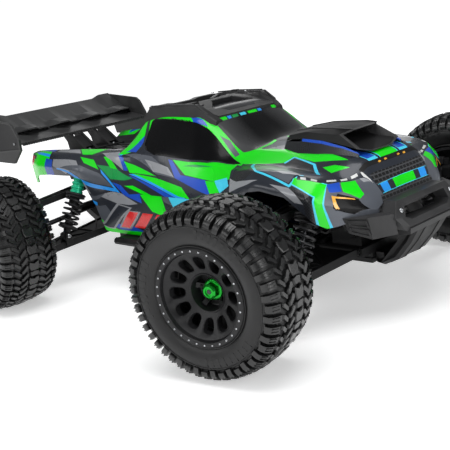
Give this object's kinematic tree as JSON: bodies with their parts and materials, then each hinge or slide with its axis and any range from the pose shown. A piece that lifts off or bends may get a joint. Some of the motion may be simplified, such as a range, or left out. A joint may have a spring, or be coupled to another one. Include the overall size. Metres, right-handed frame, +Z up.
{
  "type": "radio-controlled race truck",
  "caption": "Large-scale radio-controlled off-road race truck with shaft drive, independent suspension, steering front wheels, lift-off painted body, roof skid, hood scoop and rear wing.",
  "frame": {"origin": "on the ground under the middle of the overall length and width, as it stands with its front wheels turned 13 degrees to the left", "axes": "+X forwards, +Y to the vehicle's left, +Z up; the tyres stand on z = 0"},
  "size_m": [0.7218, 0.5754, 0.24],
  "materials": {
    "paint": "gloss",
    "black_plastic": "satin",
    "rim_plastic": "satin",
    "tyre_rubber": "matte",
    "steel": "satin",
    "green_aluminium": "satin",
    "spring_steel": "gloss",
    "battery_wrap": "satin",
    "case_plastic": "matte"
  },
  "bodies": {
    "chassis": {"chassis_tub": "black_plastic", "front_bulkhead": "black_plastic", "rear_bulkhead": "black_plastic", "front_bumper": "black_plastic", "rear_bumper": "black_plastic", "motor": "steel", "speed_controller": "case_plastic", "receiver_box": "case_plastic", "left_battery": "battery_wrap", "right_battery": "battery_wrap", "steering_servo": "case_plastic"},
    "body_cover": {"body_shell": "paint", "roof_skid": "black_plastic", "hood_scoop": "black_plastic", "wing": "black_plastic", "wing_mount": "black_plastic"},
    "spur_gear": {"spur_gear_and_shaft": "steel"},
    "pinion": {"pinion_gear": "steel"},
    "servo_horn": {"servo_horn": "black_plastic"},
    "drag_link": {"drag_link": "black_plastic"},
    "left_tie_rod": {"left_tie_rod": "steel"},
    "right_tie_rod": {"right_tie_rod": "steel"},
    "front_right_lower_arm": {"front_right_lower_arm": "black_plastic"},
    "front_right_upper_arm": {"front_right_upper_arm": "black_plastic"},
    "front_right_driveshaft": {"front_right_driveshaft": "steel"},
    "front_right_caster_block": {"front_right_caster_block": "black_plastic"},
    "front_right_steering_block": {"front_right_steering_block": "black_plastic"},
    "front_right_shock_body": {"front_right_shock_body": "green_aluminium", "front_right_spring": "spring_steel"},
    "front_right_shock_shaft": {"front_right_shock_shaft": "steel"},
    "front_right_wheel": {"front_right_rim": "rim_plastic", "front_right_tyre": "tyre_rubber"},
    "front_left_lower_arm": {"front_left_lower_arm": "black_plastic"},
    "front_left_upper_arm": {"front_left_upper_arm": "black_plastic"},
    "front_left_driveshaft": {"front_left_driveshaft": "steel"},
    "front_left_caster_block": {"front_left_caster_block": "black_plastic"},
    "front_left_steering_block": {"front_left_steering_block": "black_plastic"},
    "front_left_shock_body": {"front_left_shock_body": "green_aluminium", "front_left_spring": "spring_steel"},
    "front_left_shock_shaft": {"front_left_shock_shaft": "steel"},
    "front_left_wheel": {"front_left_rim": "rim_plastic", "front_left_tyre": "tyre_rubber"},
    "rear_right_lower_arm": {"rear_right_lower_arm": "black_plastic"},
    "rear_right_upper_arm": {"rear_right_upper_arm": "black_plastic"},
    "rear_right_driveshaft": {"rear_right_driveshaft": "steel"},
    "rear_right_axle_carrier": {"rear_right_axle_carrier": "black_plastic"},
    "rear_right_shock_body": {"rear_right_shock_body": "green_aluminium", "rear_right_spring": "spring_steel"},
    "rear_right_shock_shaft": {"rear_right_shock_shaft": "steel"},
    "rear_right_wheel": {"rear_right_rim": "rim_plastic", "rear_right_tyre": "tyre_rubber"},
    "rear_left_lower_arm": {"rear_left_lower_arm": "black_plastic"},
    "rear_left_upper_arm": {"rear_left_upper_arm": "black_plastic"},
    "rear_left_driveshaft": {"rear_left_driveshaft": "steel"},
    "rear_left_axle_carrier": {"rear_left_axle_carrier": "black_plastic"},
    "rear_left_shock_body": {"rear_left_shock_body": "green_aluminium", "rear_left_spring": "spring_steel"},
    "rear_left_shock_shaft": {"rear_left_shock_shaft": "steel"},
    "rear_left_wheel": {"rear_left_rim": "rim_plastic", "rear_left_tyre": "tyre_rubber"}
  },
  "joints": [
    {"name": "body_lift", "type": "slide", "parent": "chassis", "child": "body_cover", "axis": [0, 0, 1], "range_m": [0, 0.13]},
    {"name": "spur_spin", "type": "hinge", "parent": "chassis", "child": "spur_gear", "pos_m": [0, 0, 0.086], "axis": [1, 0, 0], "continuous": true},
    {"name": "pinion_spin", "type": "hinge", "parent": "chassis", "child": "pinion", "pos_m": [0, -0.032, 0.086], "axis": [1, 0, 0], "continuous": true},
    {"name": "steer_right", "type": "hinge", "parent": "front_right_caster_block", "child": "front_right_steering_block", "pos_m": [0.2641, -0.206, 0.08824], "axis": [0, 0, 1], "range_deg": [-33, 7]},
    {"name": "steer_left", "type": "hinge", "parent": "front_left_caster_block", "child": "front_left_steering_block", "pos_m": [0.2641, 0.206, 0.08824], "axis": [0, 0, 1], "range_deg": [-33, 7]},
    {"name": "drag_link_slide", "type": "slide", "parent": "chassis", "child": "drag_link", "axis": [0, 1, 0], "range_m": [-0.0065, 0.0198]},
    {"name": "servo_horn_turn", "type": "hinge", "parent": "chassis", "child": "servo_horn", "pos_m": [0.1891, 0.028, 0.103], "axis": [0, 0, 1], "range_deg": [-10, 30]},
    {"name": "suspension_front_right", "type": "hinge", "parent": "chassis", "child": "front_right_lower_arm", "pos_m": [0.2641, -0.042, 0.068], "axis": [-1, 0, 0], "range_deg": [-9, 12], "stiffness_Nm_per_rad": 8, "springref_deg": -11.12},
    {"name": "front_right_upper_arm_pivot", "type": "hinge", "parent": "chassis", "child": "front_right_upper_arm", "pos_m": [0.2641, -0.042, 0.132], "axis": [-1, 0, 0], "range_deg": [-9, 12]},
    {"name": "front_right_carrier_pivot", "type": "hinge", "parent": "front_right_lower_arm", "child": "front_right_caster_block", "pos_m": [0.2641, -0.19, 0.056], "axis": [-1, 0, 0], "range_deg": [-12, 9]},
    {"name": "front_right_driveshaft_pivot", "type": "hinge", "parent": "chassis", "child": "front_right_driveshaft", "pos_m": [0.2641, -0.058, 0.10024], "axis": [-1, 0, 0], "range_deg": [-9, 12]},
    {"name": "front_right_shock_pivot", "type": "hinge", "parent": "chassis", "child": "front_right_shock_body", "pos_m": [0.2811, -0.093, 0.152], "axis": [-1, 0, 0], "range_deg": [-3.6, 4.7]},
    {"name": "front_right_shock_slide", "type": "slide", "parent": "front_right_shock_body", "child": "front_right_shock_shaft", "axis": [0, -0.438, -0.899], "range_m": [-0.0177, 0.0134], "deforming": ["front_right_spring"]},
    {"name": "front_right_wheel_spin", "type": "hinge", "parent": "front_right_steering_block", "child": "front_right_wheel", "pos_m": [0.2641, -0.206, 0.08824], "axis": [-0.225, 0.9744, 0], "continuous": true},
    {"name": "suspension_front_left", "type": "hinge", "parent": "chassis", "child": "front_left_lower_arm", "pos_m": [0.2641, 0.042, 0.068], "axis": [1, 0, 0], "range_deg": [-9, 12], "stiffness_Nm_per_rad": 8, "springref_deg": -11.12},
    {"name": "front_left_upper_arm_pivot", "type": "hinge", "parent": "chassis", "child": "front_left_upper_arm", "pos_m": [0.2641, 0.042, 0.132], "axis": [1, 0, 0], "range_deg": [-9, 12]},
    {"name": "front_left_carrier_pivot", "type": "hinge", "parent": "front_left_lower_arm", "child": "front_left_caster_block", "pos_m": [0.2641, 0.19, 0.056], "axis": [1, 0, 0], "range_deg": [-12, 9]},
    {"name": "front_left_driveshaft_pivot", "type": "hinge", "parent": "chassis", "child": "front_left_driveshaft", "pos_m": [0.2641, 0.058, 0.10024], "axis": [1, 0, 0], "range_deg": [-9, 12]},
    {"name": "front_left_shock_pivot", "type": "hinge", "parent": "chassis", "child": "front_left_shock_body", "pos_m": [0.2811, 0.093, 0.152], "axis": [1, 0, 0], "range_deg": [-3.6, 4.7]},
    {"name": "front_left_shock_slide", "type": "slide", "parent": "front_left_shock_body", "child": "front_left_shock_shaft", "axis": [0, 0.438, -0.899], "range_m": [-0.0177, 0.0134], "deforming": ["front_left_spring"]},
    {"name": "front_left_wheel_spin", "type": "hinge", "parent": "front_left_steering_block", "child": "front_left_wheel", "pos_m": [0.2641, 0.206, 0.08824], "axis": [-0.225, 0.9744, 0], "continuous": true},
    {"name": "suspension_rear_right", "type": "hinge", "parent": "chassis", "child": "rear_right_lower_arm", "pos_m": [-0.1659, -0.042, 0.068], "axis": [-1, 0, 0], "range_deg": [-9, 12], "stiffness_Nm_per_rad": 8, "springref_deg": -11.12},
    {"name": "rear_right_upper_arm_pivot", "type": "hinge", "parent": "chassis", "child": "rear_right_upper_arm", "pos_m": [-0.1659, -0.042, 0.132], "axis": [-1, 0, 0], "range_deg": [-9, 12]},
    {"name": "rear_right_carrier_pivot", "type": "hinge", "parent": "rear_right_lower_arm", "child": "rear_right_axle_carrier", "pos_m": [-0.1659, -0.19, 0.056], "axis": [-1, 0, 0], "range_deg": [-12, 9]},
    {"name": "rear_right_driveshaft_pivot", "type": "hinge", "parent": "chassis", "child": "rear_right_driveshaft", "pos_m": [-0.1659, -0.058, 0.10024], "axis": [-1, 0, 0], "range_deg": [-9, 12]},
    {"name": "rear_right_shock_pivot", "type": "hinge", "parent": "chassis", "child": "rear_right_shock_body", "pos_m": [-0.1489, -0.096, 0.152], "axis": [-1, 0, 0], "range_deg": [-4.4, 5.8]},
    {"name": "rear_right_shock_slide", "type": "slide", "parent": "rear_right_shock_body", "child": "rear_right_shock_shaft", "axis": [0, -0.4781, -0.8783], "range_m": [-0.0188, 0.0141], "deforming": ["rear_right_spring"]},
    {"name": "rear_right_wheel_spin", "type": "hinge", "parent": "rear_right_axle_carrier", "child": "rear_right_wheel", "pos_m": [-0.1659, -0.206, 0.08824], "axis": [0, 1, 0], "continuous": true},
    {"name": "suspension_rear_left", "type": "hinge", "parent": "chassis", "child": "rear_left_lower_arm", "pos_m": [-0.1659, 0.042, 0.068], "axis": [1, 0, 0], "range_deg": [-9, 12], "stiffness_Nm_per_rad": 8, "springref_deg": -11.12},
    {"name": "rear_left_upper_arm_pivot", "type": "hinge", "parent": "chassis", "child": "rear_left_upper_arm", "pos_m": [-0.1659, 0.042, 0.132], "axis": [1, 0, 0], "range_deg": [-9, 12]},
    {"name": "rear_left_carrier_pivot", "type": "hinge", "parent": "rear_left_lower_arm", "child": "rear_left_axle_carrier", "pos_m": [-0.1659, 0.19, 0.056], "axis": [1, 0, 0], "range_deg": [-12, 9]},
    {"name": "rear_left_driveshaft_pivot", "type": "hinge", "parent": "chassis", "child": "rear_left_driveshaft", "pos_m": [-0.1659, 0.058, 0.10024], "axis": [1, 0, 0], "range_deg": [-9, 12]},
    {"name": "rear_left_shock_pivot", "type": "hinge", "parent": "chassis", "child": "rear_left_shock_body", "pos_m": [-0.1489, 0.096, 0.152], "axis": [1, 0, 0], "range_deg": [-4.4, 5.8]},
    {"name": "rear_left_shock_slide", "type": "slide", "parent": "rear_left_shock_body", "child": "rear_left_shock_shaft", "axis": [0, 0.4781, -0.8783], "range_m": [-0.0188, 0.0141], "deforming": ["rear_left_spring"]},
    {"name": "rear_left_wheel_spin", "type": "hinge", "parent": "rear_left_axle_carrier", "child": "rear_left_wheel", "pos_m": [-0.1659, 0.206, 0.08824], "axis": [0, 1, 0], "continuous": true},
    {"name": "left_tie_rod_pivot", "type": "hinge", "parent": "drag_link", "child": "left_tie_rod", "pos_m": [0.2341, 0.05125, 0.096], "axis": [1, 0, 0], "range_deg": [-9, 12]},
    {"name": "right_tie_rod_pivot", "type": "hinge", "parent": "drag_link", "child": "right_tie_rod", "pos_m": [0.2341, -0.06475, 0.096], "axis": [-1, 0, 0], "range_deg": [-9, 12]}
  ],
  "couplings": [
    {"joint": "pinion_spin", "follows": "spur_spin", "ratio": -3},
    {"joint": "steer_left", "follows": "steer_right", "ratio": 1},
    {"joint": "drag_link_slide", "follows": "steer_right", "m_per_rad": -0.0292},
    {"joint": "servo_horn_turn", "follows": "steer_right", "ratio": -0.764},
    {"joint": "front_right_upper_arm_pivot", "follows": "suspension_front_right", "ratio": 1},
    {"joint": "front_right_carrier_pivot", "follows": "suspension_front_right", "ratio": -1},
    {"joint": "front_right_driveshaft_pivot", "follows": "suspension_front_right", "ratio": 1},
    {"joint": "front_right_shock_pivot", "follows": "suspension_front_right", "ratio": 0.38236},
    {"joint": "front_right_shock_slide", "follows": "suspension_front_right", "m_per_rad": -0.083158},
    {"joint": "front_left_upper_arm_pivot", "follows": "suspension_front_left", "ratio": 1},
    {"joint": "front_left_carrier_pivot", "follows": "suspension_front_left", "ratio": -1},
    {"joint": "front_left_driveshaft_pivot", "follows": "suspension_front_left", "ratio": 1},
    {"joint": "front_left_shock_pivot", "follows": "suspension_front_left", "ratio": 0.38236},
    {"joint": "front_left_shock_slide", "follows": "suspension_front_left", "m_per_rad": -0.083158},
    {"joint": "rear_right_upper_arm_pivot", "follows": "suspension_rear_right", "ratio": 1},
    {"joint": "rear_right_carrier_pivot", "follows": "suspension_rear_right", "ratio": -1},
    {"joint": "rear_right_driveshaft_pivot", "follows": "suspension_rear_right", "ratio": 1},
    {"joint": "rear_right_shock_pivot", "follows": "suspension_rear_right", "ratio": 0.46843},
    {"joint": "rear_right_shock_slide", "follows": "suspension_rear_right", "m_per_rad": -0.088125},
    {"joint": "rear_left_upper_arm_pivot", "follows": "suspension_rear_left", "ratio": 1},
    {"joint": "rear_left_carrier_pivot", "follows": "suspension_rear_left", "ratio": -1},
    {"joint": "rear_left_driveshaft_pivot", "follows": "suspension_rear_left", "ratio": 1},
    {"joint": "rear_left_shock_pivot", "follows": "suspension_rear_left", "ratio": 0.46843},
    {"joint": "rear_left_shock_slide", "follows": "suspension_rear_left", "m_per_rad": -0.088125},
    {"joint": "left_tie_rod_pivot", "follows": "suspension_front_left", "ratio": 1},
    {"joint": "right_tie_rod_pivot", "follows": "suspension_front_right", "ratio": 1}
  ]
}
